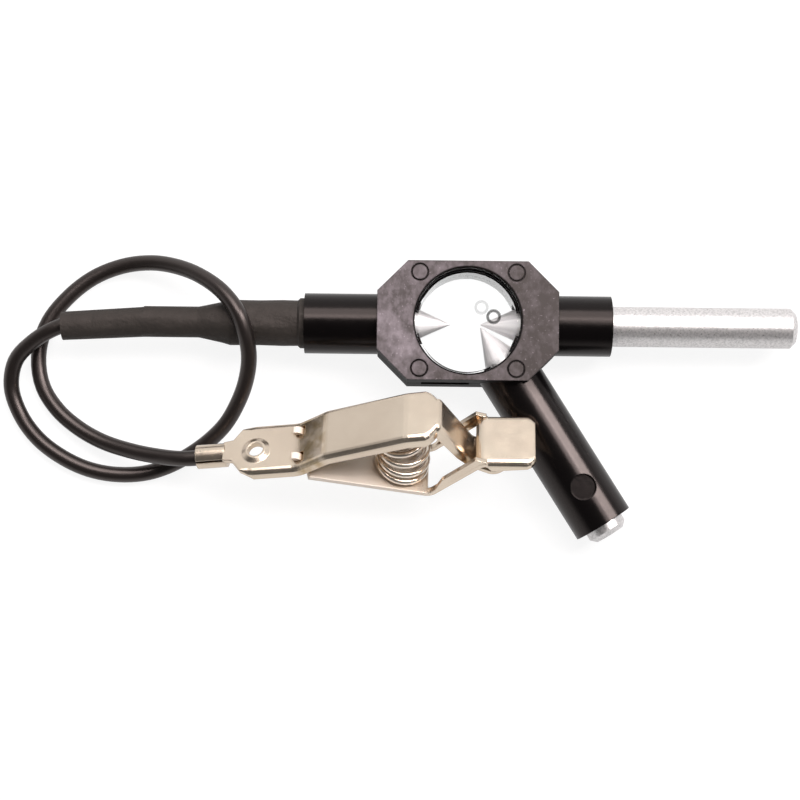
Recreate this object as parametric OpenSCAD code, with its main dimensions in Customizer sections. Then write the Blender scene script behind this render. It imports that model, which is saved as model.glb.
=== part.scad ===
// Spark tester: a two-half moulded housing with a viewing window and three pointed
// electrodes, a short insulated lead and a folded sheet spring clip on its end.
// The tester lies on its back. The plug electrode points along +X and +Z is up.

/* [Housing] */
// Length of the octagonal body along the plug electrode
body_l = 28.2; // [26:0.2:34]
// Width of the octagonal body across the plug electrode
body_w = 18.6; // [18.4:0.2:22]
// Thickness of the body, both halves together
body_t = 12.7; // [12.7:0.1:15]
// Cut across each corner of the body, along one edge
corner_cut = 4.76; // [3:0.1:6]
// Outer diameter of the three barrels
barrel_d = 9.525; // [9:0.1:11]
// Length of the lead barrel beyond the body
lead_barrel_l = 11.45; // [8:0.1:14]
// Length of the plug barrel beyond the body
plug_barrel_l = 8.6; // [6:0.1:14]
// Branch barrel's angle below the plug electrode, in degrees
branch_angle = 57.5; // [52:0.5:62]
// Distance from the branch electrode's point to the end of its barrel
branch_l = 36.3; // [30:0.1:42]
// Depth and width of the groove along the parting line
seam = 0.2; // [0.1:0.05:0.4]
// Diameter of the round witness marks on both faces
mark_d = 2.3; // [1.5:0.1:2.6]
// Distance of each witness mark from the two centre lines
mark_off = 7.5; // [6.9:0.1:7.6]
// Width and depth of the ring groove round a witness mark
mark_groove = 0.25; // [0.15:0.05:0.4]
// Diameter of the round recess near the branch barrel's end
recess_d = 4; // [3:0.1:5]
// Depth of that recess below the barrel's crown
recess_deep = 1.1; // [0.5:0.1:1.3]
// Distance of the recess from the barrel's end
recess_off = 6.6; // [4:0.1:10]
// Diameter of the three locating pegs between the halves
peg_d = 2; // [1.4:0.1:2.4]
// Height of the locating pegs
peg_h = 2; // [1:0.1:3]

/* [Window] */
// Clear opening in each face
window_d = 16.5; // [14:0.1:16.8]
// Outer diameter of the clear window cups
cup_d = 17; // [16.9:0.1:17.4]
// Thickness of a window's lens
lens_t = 1.2; // [0.8:0.1:1.5]
// Wall of a window's skirt
skirt_t = 0.7; // [0.5:0.05:1]
// Depth of a lens below the body's face
lens_deep = 1.8; // [1:0.1:1.9]
// Chamfer round each clear opening
window_chamfer = 0.3; // [0.1:0.05:0.5]
// Radius at which each lens carries its gate ring
gate_off = 4.15; // [2:0.05:5]
// Outer diameter of the gate ring
gate_d = 2.3; // [1.5:0.1:3]

/* [Electrodes] */
// Diameter of all three electrodes
rod_d = 6.35; // [5:0.05:6.4]
// Half angle of the turned points, in degrees
point_angle = 24.5; // [20:0.5:28]
// Flat left on each point
point_flat = 0.16; // [0.1:0.02:0.4]
// Distance of the ground point from the window's centre
ground_tip = 2.65; // [1.5:0.05:4]
// Distance of the plug point from the window's centre
plug_tip = 2.2; // [1.5:0.05:4]
// Sideways step of the branch point below the plug point
branch_drop = 0.44; // [0.4:0.02:1]
// Length of the plug electrode beyond its barrel
plug_out = 29.2; // [20:0.1:40]
// Length of the branch electrode beyond its barrel
branch_out = 2; // [1:0.1:6]
// Length of the ground electrode beyond its barrel
ground_out = 11.8; // [8:0.1:16]
// Chamfer on the outer ends
end_chamfer = 0.8; // [0.3:0.05:1.2]
// Width of the retaining groove in each electrode
groove_w = 1.6; // [1:0.1:2.4]
// Depth of the retaining groove
groove_deep = 0.7; // [0.3:0.05:1]
// Depth of the wire socket in the ground electrode
socket_l = 5; // [3:0.1:8]

/* [Lead] */
// Diameter over the insulation
lead_d = 2.5; // [2:0.05:2.6]
// Diameter of the stranded core
core_d = 1.2; // [0.8:0.05:1.5]
// Length of the sleeve that covers the ground electrode and the lead's start
sleeve_l = 38.4; // [34:0.1:44]
// Wall of the sleeve
sleeve_t = 0.375; // [0.3:0.025:0.6]
// Length over which the sleeve necks down to the lead
sleeve_neck = 5; // [4:0.1:8]
// Outer radius of the sleeve just behind its neck
sleeve_neck_r = 2.45; // [2:0.05:2.6]
// Outer radius of the sleeve at its free end
sleeve_end_r = 2.25; // [1.9:0.05:2.5]
// Distance from the barrel at which the sleeve starts to droop
sleeve_straight = 25.4; // [22:0.1:28]
// Droop of the sleeve's free end, in degrees
sleeve_droop = 3.5; // [0.5:0.5:5]

/* [Clip] */
// Sheet thickness of both clip arms
sheet_t = 0.7; // [0.6:0.05:0.8]
// Width of the clip arms
clip_w = 9.2; // [8.8:0.1:9.6]
// Depth of the side flanges, over the sheet
flange_h = 1.7; // [1.5:0.1:1.9]
// Outer radius of the long folds
fold_r = 0.95; // [0.9:0.05:1.2]
// Width of the upper arm's neck, where it passes through the lower arm
neck_w = 5.8; // [5:0.1:6]
// Width of the nose
nose_w = 9.3; // [9:0.1:9.8]
// Width of each leg beside the lower arm's window
leg_w = 1; // [0.9:0.05:1.3]
// Height of the rail that stands along each leg
rail_h = 1.3; // [0.8:0.1:1.6]
// Diameter of the screw hole in the tang
screw_d = 2.4; // [2:0.05:3]
// Height of the collar round the screw hole
collar_h = 0.4; // [0.3:0.05:0.9]
// Outer diameter of the wire barrel at the clip's tail
crimp_d = 3.75; // [3.6:0.05:4.2]
// Length of the wire barrel
crimp_l = 4.7; // [3.5:0.1:6]
// Outer radius of the hinge ears
ear_r = 1.25; // [1.2:0.05:1.4]
// Width of each hinge ear
ear_w = 1.2; // [1:0.1:1.6]
// Distance of each ear's middle from the clip's middle
ear_off = 2.4; // [2:0.1:2.7]

/* [Spring] */
// Diameter of the spring wire
wire_d = 1.15; // [0.9:0.05:1.25]
// Outer diameter of the coils on the lower handle
coil_d = 8.8; // [7.8:0.1:9]
// Outer diameter of the coils inside the upper handle
coil_top_d = 7.6; // [6.8:0.1:7.7]
// Number of turns
turns = 4; // [3.5:0.5:5]
// Distance of the spring's middle from the hinge axis
coil_off = 16.6; // [15:0.1:16.7]

/* [Fits] */
// Gap between an electrode and its bore, on the radius
rod_fit = 0.05; // [0.02:0.01:0.1]
// Gap round the window cups and the pegs, on the radius
cup_fit = 0.05; // [0.02:0.01:0.1]
// Gap between the lead and what it passes through, on the radius
lead_fit = 0.05; // [0.03:0.01:0.1]
// Gap between clip parts that move past each other
run_gap = 0.25; // [0.15:0.01:0.4]

/* [Hidden] */
$fn = 72;
eps = 0.01;
far = 200;

rod_r = rod_d / 2;
bore_r = rod_r + rod_fit;
axis_z = body_t / 2;
barrel_r = barrel_d / 2;
point_l = (rod_d - point_flat) / 2 / tan(point_angle);
lead_barrel_x = -body_l / 2 - lead_barrel_l;
plug_barrel_x = body_l / 2 + plug_barrel_l;
plug_end_x = plug_barrel_x + plug_out;
ground_end_x = lead_barrel_x - ground_out;
sleeve_end_x = lead_barrel_x - sleeve_l;
branch_dir = [cos(branch_angle), -sin(branch_angle)];
branch_tip = [plug_tip, -branch_drop];
branch_end = branch_tip + branch_dir * branch_l;
branch_rod_l = branch_l + branch_out;
cup_r = cup_d / 2;
chamber_r = cup_r + cup_fit;
skirt_r = cup_r - skirt_t;
// Places of the retaining grooves, as distances from each electrode's point
plug_groove = plug_barrel_x - plug_tip - groove_w;
ground_groove = 17;
branch_groove = 22;
// Angles of the gate rings, which differ because the two cups are turned
gate_angle = [12, 53];
gate_h = 0.12;
gate_wall = 0.35;
// A shallow slot in the lower wall, across the parting line
slot_x = -3.3;
slot_l = 7.6;
slot_h = 3.4;
slot_deep = 0.45;

// The frame's origin is under the middle of the tester, without its lead and clip
branch_low = branch_tip[1] + branch_dir[1] * branch_rod_l
    - (rod_r - end_chamfer) * cos(branch_angle);
origin_x = (plug_end_x + ground_end_x) / 2;
origin_y = (body_w / 2 + branch_low) / 2;

// The clip's place: the hinge line's middle on the tang's top, then turn, pitch and roll
clip_at = [-25.4, -19.6, 12.3];
clip_yaw = 4.4;
clip_pitch = 9.5;
clip_roll = 32;
hinge_u = -1;
hinge_w = -sheet_t / 2;

// The lead's route from the ground electrode to the wire barrel, each point chosen by hand
lead_route = [
    [-38, 0, 6.35], [-51, 0, 6.35], [-64, -0.8, 6.35], [-65.9, -1.6, 6.1],
    [-68.7, -3.2, 5], [-71.9, -6.3, 3.2], [-72.7, -10.1, 1.9], [-71.3, -14.5, 1.3],
    [-68.4, -18.4, 1.3], [-64.2, -21.5, 1.3], [-60.1, -23.3, 1.3], [-55.3, -24.1, 1.3],
    [-50.5, -23.7, 1.3], [-46.8, -22.4, 1.4], [-43.9, -20.8, 1.8], [-40.8, -18.6, 2.6],
    [-38.1, -16, 3.9], [-36.1, -12.8, 5.4], [-34.7, -9.4, 7.2], [-34.1, -5.6, 9.2],
    [-34.6, -2.2, 10.8], [-35.7, 0.9, 11.3], [-37.9, 3.9, 10.4], [-41.5, 6.8, 8.2],
    [-45.7, 8.8, 5.7], [-50.5, 9.8, 3.5], [-55.4, 9.4, 2], [-60, 7.6, 1.4],
    [-64.3, 4.1, 1.3], [-67.1, 0.4, 1.3], [-68.5, -4.1, 1.3], [-67.7, -10.2, 1.3],
    [-65.3, -13.8, 1.4], [-62, -16.6, 1.8], [-58, -18.8, 2.7], [-53.4, -20.3, 4.1],
    [-48.4, -21.3, 5.8]
];

// Turns a point of the clip's own frame, along its length, across it and above it
function spin_x(p, a) = [p[0], p[1] * cos(a) - p[2] * sin(a), p[1] * sin(a) + p[2] * cos(a)];
function spin_y(p, a) = [p[0] * cos(a) + p[2] * sin(a), p[1], p[2] * cos(a) - p[0] * sin(a)];
function spin_z(p, a) = [p[0] * cos(a) - p[1] * sin(a), p[0] * sin(a) + p[1] * cos(a), p[2]];
function clip_point(p) =
    clip_at + spin_z(spin_y(spin_x(p, -clip_roll), -clip_pitch), clip_yaw);

// Puts what is drawn about the window's centre into the frame
module placed() {
    translate([-origin_x, -origin_y, 0]) children();
}

module in_clip_frame() {
    placed()
        translate(clip_at)
            rotate([0, 0, clip_yaw])
                rotate([0, -clip_pitch, 0])
                    rotate([-clip_roll, 0, 0])
                        children();
}

// A bar along +X from the given point on the electrode plane
module along(from, angle) {
    translate([from[0], from[1], axis_z]) rotate([0, 0, angle]) rotate([0, 90, 0]) children();
}

// HOUSING

// The body's outline, drawn in by inset
module octagon(inset) {
    l = body_l / 2 - inset;
    w = body_w / 2 - inset;
    c = corner_cut - inset * (2 - sqrt(2));
    polygon([[l, w - c], [l - c, w], [c - l, w], [-l, w - c],
        [-l, c - w], [c - l, -w], [l - c, -w], [l, c - w]]);
}

// The whole outline seen from the front, with the three barrels, drawn in by inset
module silhouette(inset) {
    octagon(inset);
    translate([lead_barrel_x + inset, inset - barrel_r])
        square([-lead_barrel_x - inset, barrel_d - 2 * inset]);
    translate([0, inset - barrel_r])
        square([plug_barrel_x - inset, barrel_d - 2 * inset]);
    translate(branch_tip) rotate(-branch_angle)
        translate([rod_d, inset - barrel_r])
            square([branch_l - rod_d - inset, barrel_d - 2 * inset]);
}

module barrels() {
    along([lead_barrel_x, 0], 0) cylinder(h = -lead_barrel_x, r = barrel_r);
    along([0, 0], 0) cylinder(h = plug_barrel_x, r = barrel_r);
    along(branch_tip + branch_dir * rod_d, -branch_angle)
        cylinder(h = branch_l - rod_d, r = barrel_r);
}

// The bore for one electrode, with a rib left standing for its retaining groove
module rod_bore(l, rib_at) {
    rib_r = bore_r - groove_deep;
    difference() {
        cylinder(h = l, r = bore_r);
        translate([0, 0, rib_at + rod_fit])
            difference() {
                cylinder(h = groove_w - 2 * rod_fit, r = bore_r + rod_fit);
                translate([0, 0, -rod_fit])
                    cylinder(h = groove_w, r = rib_r);
            }
    }
}

module rod_bores() {
    along([plug_tip, 0], 0) rod_bore(far, plug_groove);
    along([-ground_tip, 0], 180) rod_bore(far, ground_groove);
    along(branch_tip, -branch_angle) rod_bore(far, branch_groove);
}

// The chamber between the faces, stepped where each window cup seats
module chamber() {
    window_r = window_d / 2;
    translate([0, 0, -far / 2]) cylinder(h = far, r = window_r);
    translate([0, 0, lens_deep]) cylinder(h = body_t - 2 * lens_deep, r = chamber_r);
    translate([0, 0, body_t - window_chamfer])
        cylinder(h = window_chamfer + eps, r1 = window_r, r2 = window_r + window_chamfer + eps);
    translate([0, 0, -eps])
        cylinder(h = window_chamfer + eps, r1 = window_r + window_chamfer + eps, r2 = window_r);
}

module mark_grooves(z) {
    for (x = [-1, 1], y = [-1, 1])
        translate([x * mark_off, y * mark_off, z])
            difference() {
                cylinder(h = 2 * mark_groove, r = mark_d / 2 + mark_groove, center = true);
                cylinder(h = 3 * mark_groove, d = mark_d, center = true);
            }
}

module seam_groove() {
    translate([0, 0, axis_z - seam])
        linear_extrude(2 * seam)
            difference() {
                silhouette(-1);
                silhouette(seam);
            }
}

module peg_places() {
    for (p = [[-1, 1], [1, 1], [-1, -1]])
        translate([p[0] * mark_off, p[1] * mark_off, axis_z]) children();
}

// Both halves as one block, before it is parted
module body_block() {
    difference() {
        union() {
            linear_extrude(body_t) octagon(0);
            barrels();
        }
        chamber();
        rod_bores();
        seam_groove();
        mark_grooves(body_t);
        mark_grooves(0);
        translate([slot_x - slot_l / 2, -body_w / 2 - eps, axis_z - slot_h / 2])
            cube([slot_l, slot_deep + eps, slot_h]);
        along(branch_end - branch_dir * recess_off, 0) rotate([0, -90, 0])
            translate([0, 0, barrel_r - recess_deep])
                cylinder(h = barrel_r, d = recess_d);
    }
}

module half_space(above) {
    translate([-far / 2, -far / 2, above ? axis_z : axis_z - far]) cube(far);
}

module housing_front() {
    color([0.17, 0.155, 0.165])
        placed()
            difference() {
                intersection() {
                    body_block();
                    half_space(true);
                }
                peg_places()
                    translate([0, 0, -eps])
                        cylinder(h = peg_h + 2 * cup_fit, r = peg_d / 2 + cup_fit);
            }
}

module housing_rear() {
    color([0.14, 0.13, 0.14])
        placed() {
            intersection() {
                body_block();
                half_space(false);
            }
            peg_places()
                translate([0, 0, -eps])
                    cylinder(h = peg_h, d = peg_d);
        }
}

// WINDOWS

// One clear cup with its lens at the bottom, the gate ring on its outer face
module window_cup(angle) {
    depth = axis_z - lens_deep - cup_fit;
    difference() {
        cylinder(h = depth, r = cup_r);
        translate([0, 0, lens_t]) cylinder(h = depth, r = skirt_r);
    }
    rotate(angle) translate([gate_off, 0, -gate_h])
        difference() {
            cylinder(h = gate_h + eps, d = gate_d);
            translate([0, 0, -eps]) cylinder(h = gate_h + eps, r = gate_d / 2 - gate_wall);
        }
}

// Holes through both skirts for the three electrodes
module skirt_holes() {
    along([0, 0], 0) cylinder(h = cup_d, r = bore_r + rod_fit);
    along([0, 0], 180) cylinder(h = cup_d, r = bore_r + rod_fit);
    along(branch_tip, -branch_angle) cylinder(h = cup_d, r = bore_r + rod_fit);
}

module window_rear() {
    color([0.85, 0.87, 0.9, 0.5])
        placed()
            difference() {
                translate([0, 0, lens_deep]) window_cup(gate_angle[1]);
                skirt_holes();
            }
}

module window_front() {
    color([0.9, 0.92, 0.95, 0.5])
        placed()
            difference() {
                translate([0, 0, body_t - lens_deep]) mirror([0, 0, 1])
                    window_cup(gate_angle[0]);
                skirt_holes();
            }
}

// ELECTRODES

// A pointed rod along +Z, its point at the origin, with a groove and a chamfered end
module electrode(l, groove_at) {
    groove_r = rod_r - groove_deep;
    rotate_extrude()
        polygon([
            [0, 0], [point_flat / 2, 0], [rod_r, point_l], [rod_r, groove_at],
            [groove_r, groove_at], [groove_r, groove_at + groove_w],
            [rod_r, groove_at + groove_w], [rod_r, l - end_chamfer],
            [rod_r - end_chamfer, l], [0, l]
        ]);
}

module plug_electrode() {
    color([0.78, 0.78, 0.79])
        placed()
            along([plug_tip, 0], 0) electrode(plug_end_x - plug_tip, plug_groove);
}

module branch_electrode() {
    color([0.72, 0.73, 0.74])
        placed()
            along(branch_tip, -branch_angle) electrode(branch_rod_l, branch_groove);
}

module ground_electrode() {
    l = -ground_end_x - ground_tip;
    color([0.75, 0.75, 0.77])
        placed()
            along([-ground_tip, 0], 180)
                difference() {
                    electrode(l, ground_groove);
                    translate([0, 0, l - socket_l])
                        cylinder(h = far, r = core_d / 2 + lead_fit);
                }
}

// SLEEVE

// The sleeve's outer form along the electrode, up to where it droops
module sleeve_on_rod() {
    full_r = rod_r + rod_fit + sleeve_t;
    lip_r = full_r + sleeve_t;
    neck_at = ground_out - eps;
    rotate_extrude()
        polygon([
            [0, 0], [lip_r, 0], [lip_r, 2 * sleeve_t], [full_r, 3 * sleeve_t],
            [full_r + 0.04, 0.3 * neck_at], [full_r - 0.05, 0.6 * neck_at],
            [full_r, neck_at],
            [full_r - 0.35, neck_at + 0.25 * sleeve_neck],
            [sleeve_neck_r + 0.2, neck_at + 0.8 * sleeve_neck],
            [sleeve_neck_r, neck_at + sleeve_neck],
            [sleeve_neck_r, sleeve_straight], [0, sleeve_straight]
        ]);
}

// Shrunk over the electrode and the lead's first stretch, butted against the barrel
module lead_sleeve() {
    over_lead = lead_d / 2 + lead_fit;
    lap = 1;
    droop_l = sleeve_l - sleeve_straight + lap;
    droop_from = [lead_barrel_x - sleeve_straight + lap, 0];
    color([0.24, 0.235, 0.24])
        placed()
            difference() {
                union() {
                    along([lead_barrel_x, 0], 180) sleeve_on_rod();
                    along(droop_from, 180 + sleeve_droop)
                        cylinder(h = droop_l, r1 = sleeve_neck_r - 0.06, r2 = sleeve_end_r);
                }
                along([lead_barrel_x, 0], 180)
                    translate([0, 0, -eps])
                        cylinder(h = ground_out + 2 * lead_fit + eps, r = rod_r + rod_fit);
                along([lead_barrel_x, 0], 180)
                    cylinder(h = sleeve_straight - lap / 2, r = over_lead);
                along(droop_from, 180 + sleeve_droop)
                    cylinder(h = far, r = over_lead + lead_fit);
            }
}

// LEAD

// One point of a smooth curve through four neighbouring points
function curve_point(a, b, c, d, t) =
    0.5 * (2 * b + (c - a) * t + (2 * a - 5 * b + 4 * c - d) * t * t
        + (3 * b - a - 3 * c + d) * t * t * t);
function unit(v) = v / norm(v);
function pick(list, i) = list[max(0, min(len(list) - 1, i))];

crimp_v = 0.4;
crimp_w = -1.75;
crimp_end = -17.1;
crimp_front = crimp_end + crimp_l;
tail = [for (u = [crimp_end - 3, crimp_front]) clip_point([u, crimp_v, crimp_w])];
lead_start = [ground_end_x, 0, axis_z];
lead_points = concat([lead_start], [for (i = [1:len(lead_route) - 1]) lead_route[i]], tail);
// Rings are a little over two diameters apart, one in the middle of each longer stretch
lead_path = [for (i = [0:len(lead_points) - 2])
    let (steps = norm(lead_points[i + 1] - lead_points[i]) > 2.2 * lead_d ? 2 : 1)
        for (k = [0:steps - 1])
            curve_point(pick(lead_points, i - 1), lead_points[i], lead_points[i + 1],
                pick(lead_points, i + 2), k / steps),
    lead_points[len(lead_points) - 1]];

// A tube of flat sides along a path, closed at both ends
module tube(path, r, sides) {
    n = len(path);
    dirs = [for (i = [0:n - 1]) unit(path[min(n - 1, i + 1)] - path[max(0, i - 1)])];
    // The side vector is carried along the path, so the tube doesn't twist
    frames = [for (i = 0, s = unit(cross(dirs[0], [0, 1, 0])); i < n;
        i = i + 1, s = unit(s - dirs[min(i, n - 1)] * (s * dirs[min(i, n - 1)]))) s];
    rings = [for (i = [0:n - 1], k = [0:sides - 1])
        let (s = frames[i], q = cross(dirs[i], s), a = 360 * (k + 0.5) / sides)
            path[i] + r * (cos(a) * s + sin(a) * q)];
    walls = [for (i = [0:n - 2], k = [0:sides - 1])
        let (a = i * sides + k, b = i * sides + (k + 1) % sides)
            each [[a, b, a + sides], [b, b + sides, a + sides]]];
    first = [for (k = [0:sides - 1]) sides - 1 - k];
    last = [for (k = [0:sides - 1]) (n - 1) * sides + k];
    polyhedron(rings, concat(walls, [first, last]));
}

module lead() {
    color([0.06, 0.06, 0.065])
        placed() tube(lead_path, lead_d / 2, 8);
}

// The bared strands, in the ground electrode's socket and past the wire barrel
module lead_core() {
    color([0.72, 0.42, 0.25]) {
        placed()
            along([ground_end_x, 0], 0) cylinder(h = socket_l - lead_fit, d = core_d);
        in_clip_frame()
            translate([crimp_front, crimp_v, crimp_w]) rotate([0, 90, 0])
                cylinder(h = 1.4, d = core_d);
    }
}

// FOLDED SHEET

bend_step = 12;
fold_steps = 4;

// The stations of a folded strip's top face: place, slope, half width, flange depth, fold radius
function bend(p, i) =
    let (a = p[i - 1], b = p[i], c = p[i + 1],
        a0 = atan2(b[1] - a[1], b[0] - a[0]), a1 = atan2(c[1] - b[1], c[0] - b[0]),
        turn = a1 - a0, side = turn < 0 ? -1 : 1, r = b[2],
        cut = r * tan(abs(turn) / 2), steps = r > 0 ? ceil(abs(turn) / bend_step) : 0,
        start = [b[0] - cut * cos(a0), b[1] - cut * sin(a0)],
        middle = start + r * side * [-sin(a0), cos(a0)])
    steps == 0 ? [[b[0], b[1], (a0 + a1) / 2, b[3], b[4], b[5]]] :
        [for (k = [0:steps])
            let (s = a0 + turn * k / steps, q = middle + r * side * [sin(s), -cos(s)])
                [q[0], q[1], s, b[3], b[4], b[5]]];
function end_station(b, toward, a) =
    [b[0], b[1], a, b[3], b[4], b[5]];
function stations(p) =
    let (n = len(p))
    concat(
        [end_station(p[0], p[1], atan2(p[1][1] - p[0][1], p[1][0] - p[0][0]))],
        [for (i = [1:n - 2]) each bend(p, i)],
        [end_station(p[n - 1], p[n - 2],
            atan2(p[n - 1][1] - p[n - 2][1], p[n - 1][0] - p[n - 2][0]))]);

// Inner radius of a sharp crease, and of a fold of outer radius r
crease_r = 0.05;
function inner_r(r) = max(crease_r, r - sheet_t);

// A quarter turn about a place across and above the top face
function quarter(v, w, r, from, to) =
    [for (k = [0:fold_steps]) let (a = from + (to - from) * k / fold_steps)
        [v + r * cos(a), w + r * sin(a)]];

// The section across a strip, folded down at both sides, as points across and above the top face
function fold_section(hw, d, r) =
    let (q = inner_r(r), inside = hw - sheet_t)
    concat(
        [[-hw, -d]],
        quarter(r - hw, -r, r, 180, 90),
        quarter(hw - r, -r, r, 90, 0),
        [[hw, -d], [inside, -d]],
        quarter(inside - q, -sheet_t - q, q, 0, 90),
        quarter(q - inside, -sheet_t - q, q, 90, 180),
        [[-inside, -d]]);

// A strip folded along its path and down at its sides, in one piece
module folded_strip(path) {
    st = stations(path);
    sections = [for (s = st) fold_section(s[3], s[4], s[5])];
    m = len(sections[0]);
    n = len(st);
    points = [for (i = [0:n - 1], q = sections[i])
        [st[i][0] - q[1] * sin(st[i][2]), q[0], st[i][1] + q[1] * cos(st[i][2])]];
    walls = [for (i = [0:n - 2], k = [0:m - 1])
        let (a = i * m + k, b = i * m + (k + 1) % m)
            each [[a, b, a + m], [b, b + m, a + m]]];
    // Each end is closed by strips between the outer and the inner side of the section
    first = [for (k = [0:m / 2 - 2])
        each [[m - 1 - k, k + 1, k], [m - 1 - k, m - 2 - k, k + 1]]];
    last = [for (f = first) [for (q = [2:-1:0]) f[q] + (n - 1) * m]];
    polyhedron(points, concat(walls, first, last));
}

flat_r = 0.15;
flat_d = sheet_t + crease_r + 0.02;
half_w = clip_w / 2;
nose_hw = nose_w / 2;
neck_hw = neck_w / 2;

// Where the upper arm's handle starts and ends, along the clip and above the tang
rise_at = [4.1, 2.65];
brow_at = [17.2, 5.65];
// Where the lower arm's handle starts and where it turns up towards the nose
lower_from = [1, -2.1];
lower_bend = [18.45, -9.05];
nose_from = [27.5, -1.95];
nose_end = [35.7, -3.2];
jaw_end = [34.6, -4.7];

// The upper arm's top face: along, above, bend radius, half width, flange depth, fold radius
upper_path = [
    [crimp_front - 0.2, 0, 0, 1.7, flat_d, flat_r],
    [-11.1, 0, 0, 1.95, flat_d, flat_r],
    [-9.7, 0, 0, half_w - 0.75, flat_d, flat_r],
    [-8.4, 0, 0, half_w - 0.1, fold_r + 0.05, fold_r],
    [-7.7, 0, 0, half_w, flange_h, fold_r],
    [hinge_u + 0.2, 0, 2.5, half_w, flange_h, fold_r],
    [rise_at[0], rise_at[1], 3, half_w, flange_h, fold_r],
    [brow_at[0], brow_at[1], 4, half_w, flange_h + 0.3, fold_r],
    [20.1, 5.75, 0, half_w, flange_h + 0.4, fold_r],
    [20.8, 5.75, 0, half_w - 0.35, flange_h + 0.3, fold_r],
    [21.4, 5.75, 0, half_w - 0.95, flange_h + 0.2, fold_r],
    [22.5, 5.75, 0.9, neck_hw + 0.15, flange_h, fold_r],
    [25.2, -1.9, 0, neck_hw, flange_h - 0.2, fold_r],
    [26.05, -4.3, 1.2, neck_hw, fold_r + 0.05, fold_r],
    [28.8, -7, 0.9, neck_hw, flat_d, flat_r],
    [30.8, -5.5, 1.2, neck_hw, flat_d, flat_r],
    [jaw_end[0], jaw_end[1], 0, neck_hw, flat_d, flat_r]
];

// The lower arm's top face, from under the hinge to the nose
ear_out = ear_off + ear_w / 2;
lower_path = [
    [hinge_u + 0.6, -1.05, 0, ear_out, flat_d, flat_r],
    [lower_from[0] - 0.3, lower_from[1] + 0.22, 0, ear_out, flat_d, flat_r],
    [lower_from[0], lower_from[1], 0, half_w, flat_d, flat_r],
    [lower_bend[0], lower_bend[1], 1.2, half_w, flat_d, flat_r],
    [nose_from[0], nose_from[1], 1.8, nose_hw, flat_d, flat_r],
    [28.6, -2.12, 0, nose_hw, fold_r + 0.05, fold_r],
    [29.2, -2.21, 0, nose_hw, flange_h + 0.2, fold_r],
    [34.5, -3.03, 0, nose_hw, flange_h - 0.4, fold_r],
    [35.1, -3.12, 0, nose_hw - 0.25, flange_h - 0.5, fold_r],
    [35.5, -3.18, 0, nose_hw - 0.7, flange_h - 0.5, fold_r],
    [nose_end[0], nose_end[1], 0, nose_hw - 1.25, flange_h - 0.5, fold_r]
];

// A flat plate across the clip, drawn from a side outline
module side_plate(v, t) {
    translate([0, v + t / 2, 0]) rotate([90, 0, 0]) linear_extrude(t) children();
}

// Side walls of the lower jaw, which close up inside the nose
module jaw_wall(v) {
    side_plate(v, sheet_t)
        polygon([[29.2, -6.9], [29.9, -3.5], [jaw_end[0], -4.1], jaw_end - [0, 0.3],
            [30.9, -5.8]]);
}

// The slots that the hinge ears pass through
module ear_slots() {
    for (side = [-1, 1])
        translate([hinge_u + ear_r - sheet_t - 0.35, side * ear_off - ear_w / 2 - run_gap, -3])
            cube([sheet_t + 0.35 + run_gap, ear_w + 2 * run_gap, 6]);
}

screw_at = [-7.3, -0.4];

// The wire barrel rolls up from the tang, and its seam opens towards one side
seam_angle = 62;
seam_w = 0.35;

module crimp_barrel() {
    translate([crimp_end, crimp_v, crimp_w]) rotate([0, 90, 0])
        cylinder(h = crimp_l, d = crimp_d);
}

module crimp_bore() {
    translate([crimp_end - 1, crimp_v, crimp_w]) {
        rotate([0, 90, 0]) cylinder(h = crimp_l + 3, r = lead_d / 2 + lead_fit);
        rotate([seam_angle, 0, 0])
            translate([0, -seam_w / 2, 0]) cube([crimp_l + 1 + eps, seam_w, crimp_d]);
    }
}

module clip_upper_arm() {
    color([0.72, 0.66, 0.59])
        in_clip_frame()
            difference() {
                union() {
                    folded_strip(upper_path);
                    crimp_barrel();
                    translate([screw_at[0], screw_at[1], -eps])
                        cylinder(h = collar_h + eps, d1 = screw_d + 2.2, d2 = screw_d + 0.7);
                    for (side = [-1, 1])
                        jaw_wall(side * (neck_hw - sheet_t / 2));
                }
                translate([screw_at[0], screw_at[1], -3]) cylinder(h = 6, d = screw_d);
                crimp_bore();
                ear_slots();
            }
}

// One hinge ear, a hook that rolls about the hinge axis
module hinge_ear(v) {
    side_plate(v, ear_w)
        translate([hinge_u, hinge_w])
            difference() {
                circle(r = ear_r);
                circle(r = ear_r - sheet_t);
                polygon([[0, 0], [-0.9, 3], [-4, 3], [-4, -4], [0.1, -4]]);
            }
}

// The rail that stands along a leg, from the bend to the nose
module leg_rail(v) {
    side_plate(v, sheet_t)
        polygon([
            lower_bend + [0.7, 0.2], lower_bend + [2.6, 2.05 + rail_h],
            nose_from + [-0.6, rail_h - 0.35], nose_from + [0.9, 0.1],
            nose_from + [0.2, -0.5]
        ]);
}

module clip_lower_arm() {
    color([0.7, 0.64, 0.57])
        in_clip_frame() {
            difference() {
                folded_strip(lower_path);
                // The window that the upper arm's neck passes through
                translate([lower_bend[0] - 0.25, leg_w - half_w, -12])
                    cube([nose_from[0] - lower_bend[0] - 0.55, clip_w - 2 * leg_w, 12]);
            }
            for (side = [-1, 1])
                leg_rail(side * (half_w - sheet_t / 2));
            for (side = [-1, 1])
                hinge_ear(side * ear_off);
            // The nose is closed at its front
            translate([nose_end[0] - sheet_t, 1.35 - nose_hw, nose_end[1] - flange_h + 0.5])
                cube([sheet_t, nose_w - 2.7, flange_h - 0.6]);
        }
}

// SPRING

// How far a line through two places lies above the hinge axis, and its slope
function slope(p, q) = atan2(q[1] - p[1], q[0] - p[0]);
function above_hinge(p, q) =
    (p[1] - hinge_w) * cos(slope(p, q)) - (p[0] - hinge_u) * sin(slope(p, q));

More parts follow.
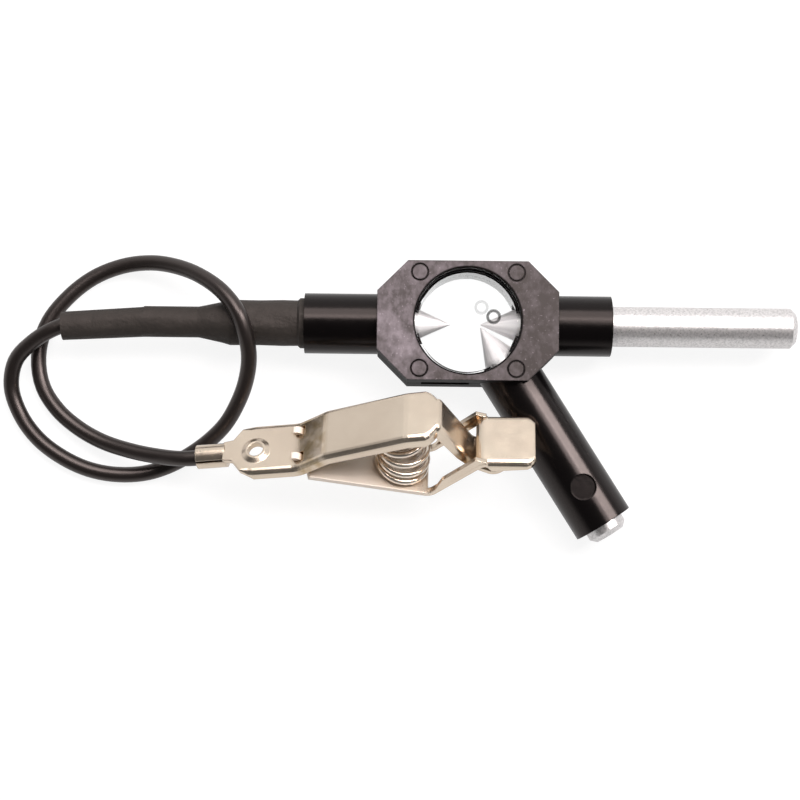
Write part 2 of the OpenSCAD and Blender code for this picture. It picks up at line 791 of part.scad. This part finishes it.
coil_r = (coil_d - wire_d) / 2;
coil_top_r = (coil_top_d - wire_d) / 2;
turn_steps = 20;
wire_room = wire_d / 2 + run_gap;
under_upper = above_hinge(rise_at, brow_at) - sheet_t - wire_room;
over_lower = above_hinge(lower_from, lower_bend) + wire_room;
spring_to = slope(rise_at, brow_at) + asin(under_upper / (coil_off + coil_top_r));
spring_from = slope(lower_from, lower_bend) + asin(over_lower / (coil_off - coil_r));
// The coils fan out about the hinge axis, as they lie between the two handles
spring_path = [for (k = [0:turns * turn_steps])
    let (part = k / (turns * turn_steps), turned = -360 * k / turn_steps,
        a = spring_from + (spring_to - spring_from) * part,
        r = coil_r + (coil_top_r - coil_r) * part, out = coil_off + r * cos(turned))
        [hinge_u + out * cos(a), r * sin(turned), hinge_w + out * sin(a)]];

module clip_spring() {
    color([0.66, 0.62, 0.58])
        in_clip_frame() tube(spring_path, wire_d / 2, 8);
}

housing_front();
housing_rear();
window_front();
window_rear();
ground_electrode();
plug_electrode();
branch_electrode();
lead_sleeve();
lead();
lead_core();
clip_upper_arm();
clip_lower_arm();
clip_spring();
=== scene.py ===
import math
import bpy
from mathutils import Matrix, Vector


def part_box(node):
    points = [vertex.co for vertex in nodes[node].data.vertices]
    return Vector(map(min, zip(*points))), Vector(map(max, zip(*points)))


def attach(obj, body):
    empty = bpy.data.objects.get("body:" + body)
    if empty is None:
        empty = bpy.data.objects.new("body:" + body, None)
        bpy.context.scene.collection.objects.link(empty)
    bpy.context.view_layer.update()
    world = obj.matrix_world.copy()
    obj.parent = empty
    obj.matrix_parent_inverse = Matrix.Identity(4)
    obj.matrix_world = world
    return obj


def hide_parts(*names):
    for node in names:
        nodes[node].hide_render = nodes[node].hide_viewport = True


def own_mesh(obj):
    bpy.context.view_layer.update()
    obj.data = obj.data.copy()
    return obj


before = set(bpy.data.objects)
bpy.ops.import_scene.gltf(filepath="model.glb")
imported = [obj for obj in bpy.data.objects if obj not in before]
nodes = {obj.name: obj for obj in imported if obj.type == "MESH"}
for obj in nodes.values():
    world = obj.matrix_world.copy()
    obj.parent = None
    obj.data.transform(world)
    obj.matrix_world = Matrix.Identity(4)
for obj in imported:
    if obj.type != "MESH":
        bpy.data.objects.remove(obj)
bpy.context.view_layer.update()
scene = bpy.context.scene

# The middle of the clear cup in front, which is the middle of the window, and the cup's radius
cup_low, cup_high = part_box("window_front")
WINDOW = (cup_low + cup_high) / 2
CUP_R = (cup_high.x - cup_low.x) / 2
# The electrodes' axes lie half way up the housing
ground_low, ground_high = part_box("ground_electrode")
plug_low, plug_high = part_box("plug_electrode")
branch_low, branch_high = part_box("branch_electrode")
AXIS = (plug_low.z + plug_high.z) / 2


def at(x, y, z):
    """A point measured from the window's centre in millimetres, as one in the row frame in metres."""
    return Vector((WINDOW.x + x / 1000, WINDOW.y + y / 1000, z / 1000))


# Camera, as the photograph was taken: nearly straight down, from 28 cm away
LOOK_AT = at(-10.39, -12.01, 6.35)
DISTANCE = 0.2839
TILT = math.radians(4.4)
ROLL = math.radians(0.65)
# Its lens and sensor in millimetres, and how near and far it sees in metres
LENS = 81
SENSOR = 36
NEAREST = 0.01
FURTHEST = 20


def make_camera():
    back = Vector((0, -math.sin(TILT), math.cos(TILT)))
    level = Vector((1, 0, 0))
    upright = Vector((0, math.cos(TILT), math.sin(TILT)))
    right = math.cos(ROLL) * level + math.sin(ROLL) * upright
    up = math.cos(ROLL) * upright - math.sin(ROLL) * level
    data = bpy.data.cameras.new("camera")
    data.sensor_width = SENSOR
    data.lens = LENS
    data.clip_start = NEAREST
    data.clip_end = FURTHEST
    camera = bpy.data.objects.new("camera", data)
    scene.collection.objects.link(camera)
    turned = Matrix((right, up, back)).transposed().to_4x4()
    camera.matrix_world = Matrix.Translation(LOOK_AT + DISTANCE * back) @ turned
    scene.camera = camera


make_camera()

# The clip's own frame: where it lies, and how it is turned, tipped and rolled, in degrees
CLIP_AT = at(-25.4, -19.6, 12.3)
CLIP_YAW = 4.4
CLIP_PITCH = 9.5
CLIP_ROLL = 32


def turn(angle, axis):
    return Matrix.Rotation(math.radians(angle), 3, axis)


CLIP_TURN = turn(CLIP_YAW, "Z") @ turn(-CLIP_PITCH, "Y") @ turn(-CLIP_ROLL, "X")


def clip_point(u, v, w):
    """A point of the clip's own frame in millimetres, as one in the row frame in metres."""
    return CLIP_AT + CLIP_TURN @ Vector((u, v, w)) / 1000


# Lead: the same route as its CAD solid, as one round cord, with a few steps from each of its points to
# the next
LEAD_D = 0.0025
LEAD_STEPS = 5
LEAD_SIDES = 14
LEAD_ROUTE = [at(*p) for p in (
    (-38, 0, 6.35), (-51, 0, 6.35), (-64, -0.8, 6.35), (-65.9, -1.6, 6.1), (-68.7, -3.2, 5),
    (-71.9, -6.3, 3.2), (-72.7, -10.1, 1.9), (-71.3, -14.5, 1.3), (-68.4, -18.4, 1.3),
    (-64.2, -21.5, 1.3), (-60.1, -23.3, 1.3), (-55.3, -24.1, 1.3), (-50.5, -23.7, 1.3),
    (-46.8, -22.4, 1.4), (-43.9, -20.8, 1.8), (-40.8, -18.6, 2.6), (-38.1, -16, 3.9),
    (-36.1, -12.8, 5.4), (-34.7, -9.4, 7.2), (-34.1, -5.6, 9.2), (-34.6, -2.2, 10.8),
    (-35.7, 0.9, 11.3), (-37.9, 3.9, 10.4), (-41.5, 6.8, 8.2), (-45.7, 8.8, 5.7),
    (-50.5, 9.8, 3.5), (-55.4, 9.4, 2), (-60, 7.6, 1.4), (-64.3, 4.1, 1.3), (-67.1, 0.4, 1.3),
    (-68.5, -4.1, 1.3), (-67.7, -10.2, 1.3), (-65.3, -13.8, 1.4), (-62, -16.6, 1.8),
    (-58, -18.8, 2.7), (-53.4, -20.3, 4.1), (-48.4, -21.3, 5.8))]
# It starts at the ground electrode's left end, as the solid does
LEAD_ROUTE[0].x = ground_low.x
# It ends straight in the clip's wire barrel, whose axis lies at this v and w
BARREL_V = 0.4
BARREL_W = -1.75
LEAD_ROUTE += [clip_point(u, BARREL_V, BARREL_W) for u in (-20.1, -12.4)]


def smooth(route, steps):
    """The points of a smooth curve through a route, with a few steps from each point to the next."""
    gaps = [(b - a).length for a, b in zip(route, route[1:])]
    runs = [(b - a) / gap for a, b, gap in zip(route, route[1:], gaps)]
    # At each point the curve aims more along the shorter of its two gaps, so uneven gaps make no kink
    aims = [runs[0]]
    for i in range(1, len(runs)):
        aims.append((runs[i - 1] * gaps[i] + runs[i] * gaps[i - 1]) / (gaps[i - 1] + gaps[i]))
    aims.append(runs[-1])
    line = []
    for i, gap in enumerate(gaps):
        for k in range(steps):
            t = k / steps
            start = route[i] * (1 + 2 * t) + aims[i] * gap * t
            end = route[i + 1] * (3 - 2 * t) - aims[i + 1] * gap * (1 - t)
            line.append(start * (1 - t) ** 2 + end * t ** 2)
    return line + [route[-1]]


def tube(name, line, diameter, sides):
    """A round tube along a line of points, as a mesh."""
    curve = bpy.data.curves.new(name, "CURVE")
    curve.dimensions = "3D"
    curve.bevel_depth = diameter / 2
    curve.bevel_resolution = (sides - 4) // 2
    curve.use_fill_caps = True
    spline = curve.splines.new("POLY")
    spline.points.add(len(line) - 1)
    for point, place in zip(spline.points, line):
        point.co = (*place, 1)
    spline.use_smooth = True
    drawn = bpy.data.objects.new(name, curve)
    scene.collection.objects.link(drawn)
    seen = drawn.evaluated_get(bpy.context.evaluated_depsgraph_get())
    mesh = bpy.data.meshes.new_from_object(seen)
    bpy.data.objects.remove(drawn)
    made = bpy.data.objects.new(name, mesh)
    scene.collection.objects.link(made)
    return made


def make_lead():
    line = smooth(LEAD_ROUTE, LEAD_STEPS)
    lead = tube("lead_round", line, LEAD_D, LEAD_SIDES)
    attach(lead, "tester")
    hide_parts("lead")
    return lead


lead = make_lead()

# Spring: its coils fan out about the hinge axis, from the lower handle up into the upper one.
# Lengths are in millimetres of the clip's own frame
HINGE_U = -1
HINGE_W = -0.35
WIRE_D = 1.05
WIRE_SIDES = 12
COIL_D = 8.8
COIL_TOP_D = 7.6
COIL_OFF = 16.6
COIL_TURNS = 5
COIL_STEPS = 28
COIL_FROM = math.radians(-22.1)
COIL_TO = math.radians(13.7)
# How much closer the end turns lie than the others, as a share of the spring's height
COIL_END = 0.045


def make_spring():
    line = []
    for k in range(COIL_TURNS * COIL_STEPS + 1):
        part = k / (COIL_TURNS * COIL_STEPS)
        turned = -2 * math.pi * k / COIL_STEPS
        rise = part - COIL_END * math.sin(2 * math.pi * part)
        a = COIL_FROM + (COIL_TO - COIL_FROM) * rise
        radius = (COIL_D + (COIL_TOP_D - COIL_D) * part - WIRE_D) / 2
        out = COIL_OFF + radius * math.cos(turned)
        line.append(clip_point(HINGE_U + out * math.cos(a), radius * math.sin(turned),
                               HINGE_W + out * math.sin(a)))
    spring = tube("spring_round", line, WIRE_D / 1000, WIRE_SIDES)
    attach(spring, "tester")
    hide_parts("clip_spring")
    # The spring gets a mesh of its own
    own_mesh(spring)
    return spring


spring = make_spring()


# Node trees

class Tree:
    """A node tree, with short ways to add the nodes that materials, the floor and the world are made of."""

    def __init__(self, tree):
        self.nodes = tree.nodes
        self.links = tree.links

    def feed(self, socket, value):
        """Gives an input a number, a colour, a vector or another node's output."""
        if isinstance(value, bpy.types.NodeSocket):
            self.links.new(value, socket)
        elif socket.type == "RGBA":
            socket.default_value = (*value, 1)
        else:
            socket.default_value = value

    def add(self, kind, feeds=None, **settings):
        """A new node with its settings, and with its inputs fed by name or by number."""
        node = self.nodes.new("ShaderNode" + kind)
        for name, value in settings.items():
            setattr(node, name, value)
        for socket, value in (feeds or {}).items():
            self.feed(node.inputs[socket], value)
        return node

    def maths(self, how, a, b=0.0):
        """One step of arithmetic with two numbers, or with one."""
        return self.add("Math", {0: a, 1: b}, operation=how).outputs["Value"]

    def vector(self, how, a, b=None):
        """One step of arithmetic with two vectors, or with one."""
        feeds = {0: a} if b is None else {0: a, 1: b}
        node = self.add("VectorMath", feeds, operation=how)
        return node.outputs["Value" if how in ("LENGTH", "DOT_PRODUCT") else "Vector"]

    def along(self, axis, vector):
        """One coordinate of a place or a direction."""
        return self.add("SeparateXYZ", {"Vector": vector}).outputs[axis]

    def between(self, value, low, high, to_low=0.0, to_high=1.0):
        """value, taken from the range low to high, held inside it and spread over another one."""
        ends = {"From Min": low, "From Max": high, "To Min": to_low, "To Max": to_high}
        return self.add("MapRange", {"Value": value, **ends}).outputs["Result"]

    def mix(self, value, a, b, of="RGBA"):
        """a where value is 0 and b where it is 1: two colours or, of FLOAT, two numbers."""
        return self.add("Mix", {"Factor": value, "A": a, "B": b}, data_type=of).outputs["Result"]

    def mix_shader(self, value, a, b):
        """The shader a where value is 0 and b where it is 1."""
        return self.add("MixShader", {"Fac": value, 1: a, 2: b}).outputs["Shader"]

    def rays(self, kind):
        """1 for the rays of one kind, and 0 for all others."""
        return self.add("LightPath").outputs["Is " + kind + " Ray"]

    def either(self, a, b):
        return self.maths("MAXIMUM", a, b)


class Surface(Tree):
    """A material with the Principled shader, and the nodes that give it grain and wear.

    Its plain colour, roughness and metallic share hold where no node gives them."""

    def __init__(self, name, colour, rough, metallic=0.0):
        self.made = bpy.data.materials.new(name)
        self.made.use_nodes = True
        super().__init__(self.made.node_tree)
        self.shader = self.nodes["Principled BSDF"]
        self.set("Base Color", colour)
        self.set("Roughness", rough)
        self.set("Metallic", metallic)
        self.place = self.add("TexCoord").outputs["Object"]

    def set(self, socket, value):
        """Gives the Principled shader's input a value or another node's output."""
        self.feed(self.shader.inputs[socket], value)

    def show(self, shader):
        """Shows another shader in place of the Principled one alone."""
        self.feed(self.nodes["Material Output"].inputs["Surface"], shader)

    def noise(self, scale, detail=4.0, stretch=(1, 1, 1), place=None):
        """A noise from 0 to 1, whose features are about 1 / scale metres wide."""
        mapping = self.add("Mapping", {"Vector": place or self.place, "Scale": stretch})
        feeds = {"Vector": mapping.outputs["Vector"], "Scale": scale, "Detail": detail}
        return self.add("TexNoise", feeds).outputs["Fac"]

    def bevel(self, radius):
        """The surface's direction, with its edges rounded to a radius."""
        return self.add("Bevel", {"Radius": radius}).outputs["Normal"]

    def true_normal(self):
        return self.add("NewGeometry").outputs["True Normal"]

    def openness(self, reach, low, high):
        """0 in corners that other surfaces close in within reach, and 1 in the open."""
        shade = self.add("AmbientOcclusion", {"Distance": reach}, samples=6)
        return self.between(shade.outputs["AO"], low, high)

    def flatness(self, radius):
        """1 on a flat place and less within a radius of an edge."""
        return self.vector("DOT_PRODUCT", self.bevel(radius), self.true_normal())

    def relief(self, value, strength, depth, rounding=0.0):
        """Raises the surface by value, up to depth in metres, and rounds its edges in the light."""
        feeds = {"Strength": strength, "Distance": depth, "Height": value}
        if rounding:
            feeds["Normal"] = self.bevel(rounding)
        self.set("Normal", self.add("Bump", feeds).outputs["Normal"])


# Materials, with lengths in metres

# Light that dark plastics throw back is a little warm
WARM = (1, 0.86, 0.82)

# Half the length of the housing's face
FACE_HALF = 0.014
# Shares of the housing's half thickness between which its broad faces begin, and the width of their edges
FACE_FROM = 0.985
FACE_FULL = 0.998
FACE_EDGE = 0.00022
# The housing's colours: polished, and the satiny grey of its faces where their wear and painted sheen are
# least and most
HOUSING_BLACK = (0.0022, 0.0018, 0.002)
SHEEN_AND_WEAR_LEAST = (0.054, 0.047, 0.046)
SHEEN_AND_WEAR_MOST = (0.43, 0.371, 0.412)
# The slanted barrel lies this far below the window's middle
SLANTED_FROM = 0.0095
SLANTED_FULL = 0.0115


def housing_plastic():
    s = Surface("housing_plastic", HOUSING_BLACK, 0.3)
    x = s.along("X", s.place)

    def leftward(right, left):
        """A value at the face's right end that turns into another one at its left end."""
        return s.between(x, WINDOW.x + FACE_HALF, WINDOW.x - FACE_HALF, right, left)

    # The two broad faces are painted a satiny grey, partly real rubbing and partly painted sheen, lighter
    # on the left as painted sheen, and they stay black along their edges
    from_middle = s.maths("ABSOLUTE", s.maths("ADD", s.along("Z", s.place), -AXIS))
    broad = s.between(from_middle, FACE_FROM * AXIS, FACE_FULL * AXIS)
    face = s.maths("MULTIPLY", broad, s.between(s.flatness(FACE_EDGE), 0.8, 0.98))
    patches = s.maths("MULTIPLY", s.between(s.noise(130, 7, (1, 0.8, 1)), 0.5, 0.72),
                      s.between(x, WINDOW.x + 0.009, WINDOW.x - 0.012, 0.05, 0.6))
    blotches = s.between(s.noise(420, 5), 0.3, 0.7, -0.05, 0.09)
    scuffs = s.maths("MULTIPLY", s.between(s.noise(1300, 6, (1, 0.7, 1)), 0.4, 0.7, -0.08, 0.15),
                     leftward(0.35, 1.1))
    specks = s.between(s.noise(2600, 3), 0.63, 0.76, 0, 0.55)
    # The grey rises towards the left as painted sheen
    sheen_and_wear = leftward(-0.01, 0.19)
    for wear in (patches, blotches, scuffs, specks):
        sheen_and_wear = s.maths("ADD", sheen_and_wear, wear)
    s.set("Base Color", s.mix(face, HOUSING_BLACK, s.mix(sheen_and_wear, SHEEN_AND_WEAR_LEAST, SHEEN_AND_WEAR_MOST)))
    # The barrels stay polished, the slanted one most, and the upright walls are duller
    wall = s.between(s.maths("ABSOLUTE", s.along("Z", s.true_normal())), 0.02, 0.0)
    y = s.along("Y", s.place)
    polish = s.between(y, WINDOW.y - SLANTED_FROM, WINDOW.y - SLANTED_FULL, 0.27, 0.42)
    s.set("Specular IOR Level", s.maths("MULTIPLY", polish, s.between(wall, 0, 1, 1, 0.2)))
    s.set("Specular Tint", WARM)
    dull = s.maths("ADD", s.between(face, 0, 1, 0.22, 0.5), s.between(wall, 0, 1, 0, 0.3))
    s.set("Roughness", s.maths("ADD", dull, s.between(s.noise(700), 0, 1, -0.04, 0.04)))
    s.relief(s.noise(1500, 5), 0.2, 0.00005, 0.00018)
    return s.made


# The cone at an electrode's point ends between these distances from the point
CONE_FULL = 0.006
CONE_END = 0.0068


def turned_metal(name, tip):
    """Satin turned metal, with painted highlight lines that run from the electrode's point down its cone.
    """
    s = Surface(name, (0.78, 0.77, 0.77), 0.42, 0.75)
    from_tip = s.vector("SUBTRACT", s.place, tip)
    cone = s.between(s.vector("LENGTH", from_tip), CONE_END, CONE_FULL)
    # The cone's colour carries painted highlight lines that run from its point
    highlight_streaks = s.between(s.noise(9, 5, place=s.vector("NORMALIZE", from_tip)), 0.35, 0.65)
    highlight_colour = s.mix(highlight_streaks, (0.72, 0.71, 0.72), (0.99, 0.98, 0.98))
    grain = s.mix(s.between(s.noise(2900, 4), 0.36, 0.6), (0.586, 0.575, 0.574), (0.787, 0.769, 0.767))
    s.set("Base Color", s.mix(cone, grain, highlight_colour))
    s.set("Metallic", s.between(cone, 0, 1, 0.75, 0.4))
    rough = s.between(s.noise(2500), 0.3, 0.7, 0.27, 0.38)
    s.set("Roughness", s.maths("ADD", rough, s.between(cone, 0, 1, 0, 0.22)))
    s.relief(s.noise(6000, 3), 0.35, 0.00005, 0.0001)
    return s.made


# The duller plate's paler colour, painted light where the upper handle shades the lower one, and half the
# width over which it turns into the shiny one
LIT_SATIN = (0.95, 0.84, 0.73)
LIT_SATIN_EDGE = 0.002
# The colour of a painted brown reflection across the upper arm, how far it is full to either side of its
# middle, and where it ends
BROWN_REFLECTION = (0.42, 0.3, 0.15)
BROWN_REFLECTION_FULL = 0.0012
BROWN_REFLECTION_END = 0.0026
# Painted brown shade in inner corners
CORNER_SHADE_BROWN = (0.42, 0.27, 0.13)


def nickel(name, lit_satin_end=None, brown_reflection_at=None):
    """Warm nickel plate.

    It is duller to the left of lit_satin_end and paler there as painted light, and a painted brown
    reflection crosses it at brown_reflection_at."""
    s = Surface(name, (0.75, 0.64, 0.52), 0.26, 0.95)
    x = s.along("X", s.place)
    colour = s.mix(s.between(s.noise(120, 3), 0.35, 0.7), (0.715, 0.6, 0.485), (0.79, 0.675, 0.55))
    rough = s.between(s.noise(420, 5), 0.3, 0.7, 0.17, 0.27)
    if lit_satin_end is not None:
        # Paler there as painted light, where the upper handle shades the lower one
        lit_satin = s.between(x, lit_satin_end + LIT_SATIN_EDGE, lit_satin_end - LIT_SATIN_EDGE)
        colour = s.mix(lit_satin, colour, LIT_SATIN)
        rough = s.maths("ADD", rough, s.between(lit_satin, 0, 1, 0, 0.1))
        s.set("Metallic", s.between(lit_satin, 0, 1, 0.95, 0.15))
    if brown_reflection_at is not None:
        # A painted brown reflection crosses the arm here
        off = s.maths("ABSOLUTE", s.maths("ADD", x, -brown_reflection_at))
        brown_reflection = s.maths("MULTIPLY", s.between(off, BROWN_REFLECTION_END, BROWN_REFLECTION_FULL),
                        s.between(s.noise(380, 5), 0.36, 0.56, 0, 0.75))
        colour = s.mix(brown_reflection, colour, BROWN_REFLECTION)
    # Inner corners turn brown as painted shade
    s.set("Base Color", s.mix(s.openness(0.0035, 0.3, 0.8), CORNER_SHADE_BROWN, colour))
    s.set("Roughness", rough)
    s.relief(s.noise(700, 4), 0.08, 0.0001, 0.0002)
    return s.made


def spring_steel():
    s = Surface("spring_steel", (0.9, 0.79, 0.68), 0.2, 0.85)
    # Inner corners turn brown as painted shade
    s.set("Base Color", s.mix(s.openness(0.002, 0.35, 0.85), (0.45, 0.3, 0.17), (0.9, 0.79, 0.68)))
    s.relief(s.noise(900, 3), 0.15, 0.00008)
    return s.made


def shrunk_sleeve():
    s = Surface("shrunk_sleeve", (0.029, 0.0255, 0.0228), 0.6)
    s.set("Specular IOR Level", 0.35)
    s.set("Specular Tint", WARM)
    s.set("Roughness", s.between(s.noise(500), 0, 1, 0.5, 0.72))
    waves = s.noise(130, 2, (1, 1.6, 1.6))
    grain = s.between(s.noise(1800, 4), 0, 1, 0, 0.12)
    s.relief(s.maths("ADD", waves, grain), 0.8, 0.0012)
    return s.made


def lead_insulation():
    s = Surface("lead_insulation", (0.011, 0.0088, 0.008), 0.3)
    s.set("Specular IOR Level", 0.7)
    s.set("Specular Tint", WARM)
    s.set("Roughness", s.between(s.noise(600), 0, 1, 0.28, 0.38))
    s.relief(s.noise(900, 3), 0.06, 0.00006)
    return s.made


def copper():
    s = Surface("copper", (0.75, 0.35, 0.18), 0.3, 1.0)
    s.relief(s.noise(2500, 2, (0.1, 1, 1)), 0.5, 0.0001)
    return s.made


# Radii of the gate mark's ring, with the widths over which it fades
GATE_INNER = 0.0008
GATE_INNER_FADE = 0.00015
GATE_OUTER = 0.0011
GATE_OUTER_FADE = 0.00008
# Colour of the chamber that shows through the cup's outer wall
WALL_BLACK = (0.022, 0.017, 0.018)


def clear_plastic(name, gate, shade):
    """Clear moulded plastic, with the ring of its gate mark a little greyer."""
    s = Surface(name, (1, 1, 1), 0.04)
    flat = s.vector("MULTIPLY", s.place, (1, 1, 0))
    off = s.vector("LENGTH", s.vector("SUBTRACT", flat, (gate.x, gate.y, 0)))
    ring = s.maths("MULTIPLY", s.between(off, GATE_INNER - GATE_INNER_FADE, GATE_INNER),
                   s.between(off, GATE_OUTER + GATE_OUTER_FADE, GATE_OUTER))
    # The outer wall lies against the black chamber and shows its colour
    from_middle = s.vector("LENGTH", s.vector("SUBTRACT", flat, (WINDOW.x, WINDOW.y, 0)))
    outside = s.between(from_middle, CUP_R - 0.0001, CUP_R - 0.00003)
    s.set("Base Color", s.mix(outside, s.mix(ring, (1, 1, 1), (shade, shade, shade)), WALL_BLACK))
    s.set("IOR", 1.49)
    s.set("Transmission Weight", s.between(outside, 0, 1, 1, 0))
    s.set("Specular IOR Level", s.between(outside, 0, 1, 0.5, 0))
    s.set("Roughness", s.between(outside, 0, 1, 0.04, 0.8))
    # Light for the parts behind it passes straight through
    through = s.add("BsdfTransparent", {"Color": (0.95, 0.95, 0.95)}).outputs["BSDF"]
    passed = s.either(s.rays("Shadow"), s.rays("Diffuse"))
    s.show(s.mix_shader(passed, s.shader.outputs["BSDF"], through))
    return s.made


def dress(made, *names):
    for name in names:
        data = nodes[name].data
        data.materials.clear()
        data.materials.append(made)


# Middles of the two gate marks
FRONT_GATE = at(4.06, 0.86, 0)
REAR_GATE = at(2.5, 3.31, 0)
# The sharp end of each electrode
TIPS = {
    "ground_electrode": (ground_high.x, WINDOW.y),
    "plug_electrode": (plug_low.x, WINDOW.y),
    "branch_electrode": (branch_low.x, branch_high.y),
}

dress(housing_plastic(), "housing_front", "housing_rear")
dress(clear_plastic("window_front", FRONT_GATE, 0.2), "window_front")
dress(clear_plastic("window_rear", REAR_GATE, 0.7), "window_rear")
for name, (x, y) in TIPS.items():
    dress(turned_metal(name, Vector((x, y, AXIS))), name)
dress(nickel("nickel_upper", brown_reflection_at=clip_point(1.6, 0, 0).x), "clip_upper_arm")
dress(nickel("nickel_lower", lit_satin_end=clip_point(19, 0, 0).x), "clip_lower_arm")
steel = spring_steel()
dress(steel, "clip_spring")
spring.data.materials.append(steel)
dress(shrunk_sleeve(), "lead_sleeve")
dress(copper(), "lead_core")
insulation = lead_insulation()
dress(insulation, "lead")
lead.data.materials.append(insulation)

# Floor: plain paper, which the camera, and shiny things, see as white
FLOOR_SIZE = 6
FLOOR_GAP = 0.00002
PAPER = (0.9, 0.9, 0.9)
# Brightness of that white, to the eye and through glass, and mirrored in shiny things
WHITE_SEEN = 1.1
WHITE_MIRRORED = 0.82
# Its share near the part, which keeps its shadow, and the distances over which it grows to all
WHITE_NEAR = 0.8
WHITE_FROM = 0.12
WHITE_FULL = 0.4


def make_floor():
    bpy.ops.mesh.primitive_plane_add(size=FLOOR_SIZE, location=(0, 0, -FLOOR_GAP))
    floor = bpy.context.object
    floor.name = "floor"
    s = Surface("floor", PAPER, 0.9)
    glossy = s.rays("Glossy")
    glass = s.rays("Transmission")
    brightness = s.mix(glossy, WHITE_SEEN, WHITE_MIRRORED, of="FLOAT")
    brightness = s.mix(glass, brightness, WHITE_SEEN, of="FLOAT")
    white = s.add("Emission", {"Strength": brightness}).outputs["Emission"]
    share = s.between(s.vector("LENGTH", s.place), WHITE_FROM, WHITE_FULL, WHITE_NEAR, 1.0)
    share = s.mix(s.either(s.rays("Camera"), glossy), 0.0, share, of="FLOAT")
    share = s.mix(glass, share, 1.0, of="FLOAT")
    s.show(s.mix_shader(share, s.shader.outputs["BSDF"], white))
    floor.data.materials.append(s.made)


make_floor()

# World: white to the eye and through glass. Shiny things see a white wall behind, a white horizon all
# round and a dark room above, and dull ones are lit by an even glow
DARK = 0.07
WALL = 0.88
HORIZON = 0.8
GLOW = 0.2


def make_world():
    world = bpy.data.worlds.new("world")
    world.use_nodes = True
    scene.world = world
    t = Tree(world.node_tree)
    direction = t.add("TexCoord").outputs["Generated"]
    wall = t.between(t.along("Y", direction), 0.35, 0.85, DARK, WALL)
    horizon = t.between(t.along("Z", direction), 0.5, 0.12, DARK, HORIZON)
    strength = t.mix(t.rays("Glossy"), GLOW, t.either(wall, horizon), of="FLOAT")
    seen = t.either(t.rays("Camera"), t.rays("Transmission"))
    around = t.nodes["Background"]
    t.feed(around.inputs["Color"], (1, 1, 1))
    t.feed(around.inputs["Strength"], t.mix(seen, strength, 1.0, of="FLOAT"))


make_world()

# Lamps, all a little warm
LAMP_TINT = (1, 0.945, 0.935)


def lamp(name, place, size, brightness):
    """A soft rectangular lamp aimed at the part; brightness 1 shows as white in a mirror."""
    data = bpy.data.lights.new(name, "AREA")
    data.shape = "RECTANGLE"
    data.size, data.size_y = size
    data.energy = math.pi * size[0] * size[1] * brightness
    data.color = LAMP_TINT
    made = bpy.data.objects.new(name, data)
    scene.collection.objects.link(made)
    made.location = place
    made.rotation_euler = (-Vector(place)).to_track_quat("-Z", "Y").to_euler()


# A broad softbox, above and behind the part, draws the bands of light along the barrels and the rod
lamp("softbox", (-0.05, 0.34, 0.5), (0.44, 0.42), 4.3)
# A brighter strip above it gives those bands a bright inner side
lamp("strip", (0.03, 0.225, 0.556), (0.28, 0.12), 4)
# A tall one on the right lights the slanted barrel's ridge and the lead
lamp("side_box", (0.33, 0.2, 0.46), (0.15, 0.34), 14)
# A dimmer one above it softens the inner side of that streak
lamp("side_glow", (0.173, 0.11, 0.564), (0.15, 0.2), 5.5)

scene.view_settings.view_transform = "Standard"

bpy.context.view_layer.update()
